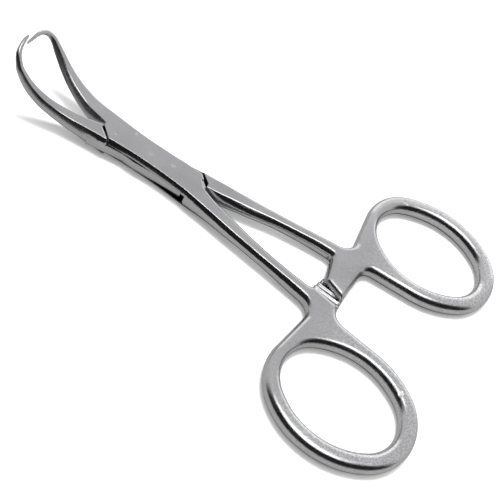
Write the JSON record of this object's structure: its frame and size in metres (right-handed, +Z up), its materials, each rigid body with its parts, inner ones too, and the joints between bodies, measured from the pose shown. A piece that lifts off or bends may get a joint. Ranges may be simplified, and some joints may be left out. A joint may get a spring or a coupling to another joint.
{
  "type": "towel clamp",
  "caption": "Scissor-handled surgical towel clamp with a box lock, a toothed ratchet between finger rings and curved, pointed, crossing jaws.",
  "frame": {"origin": "pivot axis at the underside of the box lock, on the surface the clamp lies on", "axes": "+X along the clamp towards the jaws, +Y towards the female arm's finger ring, +Z up, the way the jaws curve"},
  "size_m": [0.1068, 0.0688, 0.0154],
  "materials": {
    "steel": "satin stainless, with polished edges"
  },
  "bodies": {
    "female": {"female_arm": "steel", "pivot_pin": "steel"},
    "male": {"male_arm": "steel"}
  },
  "joints": [
    {"name": "box_lock_hinge", "type": "hinge", "parent": "female", "child": "male", "pos_m": [0, 0, 0], "axis": [0, 0, 1], "range_deg": [0, 36]}
  ]
}
